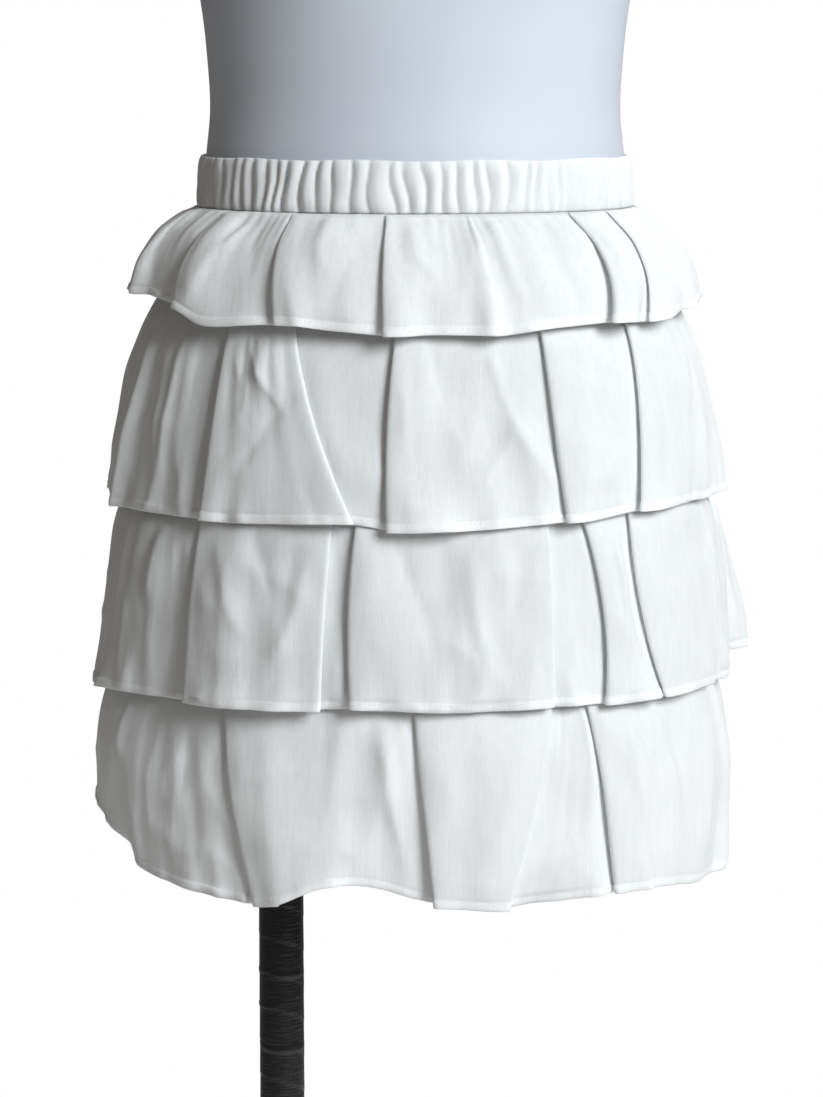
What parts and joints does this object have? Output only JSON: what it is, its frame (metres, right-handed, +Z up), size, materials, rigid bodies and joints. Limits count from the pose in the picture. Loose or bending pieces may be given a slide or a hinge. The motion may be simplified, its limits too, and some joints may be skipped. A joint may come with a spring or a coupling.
{
  "type": "tiered skort on a dress form with a floor stand",
  "caption": "Mini skort with a gathered elastic waistband and short overlapping ruffled tiers over plain shorts, on a limbless dress form with an off-centre pole and round base.",
  "frame": {"origin": "on the floor under the middle of the form and the round base", "axes": "+Z up, -Y towards the garment's front, +X to the garment's left-hand side as worn"},
  "size_m": [0.3842, 0.38, 1.418],
  "materials": {
    "cotton": "crisp crinkled sheer cotton",
    "form_shell": "smooth satin",
    "pole_tape": "glossy wrapped tape",
    "stand_steel": "satin black paint"
  },
  "bodies": {
    "root": {"waistband_front": "cotton", "waistband_back": "cotton", "tier_1_front": "cotton", "tier_1_back": "cotton", "tier_2_front": "cotton", "tier_2_back": "cotton", "tier_3_front": "cotton", "tier_3_back": "cotton", "tier_4_front": "cotton", "tier_4_back": "cotton", "underskirt_front": "cotton", "underskirt_back": "cotton", "shorts_left": "cotton", "shorts_right": "cotton", "form": "form_shell", "form_socket": "stand_steel", "pole": "pole_tape", "base_socket": "stand_steel", "base": "stand_steel"}
  },
  "joints": []
}
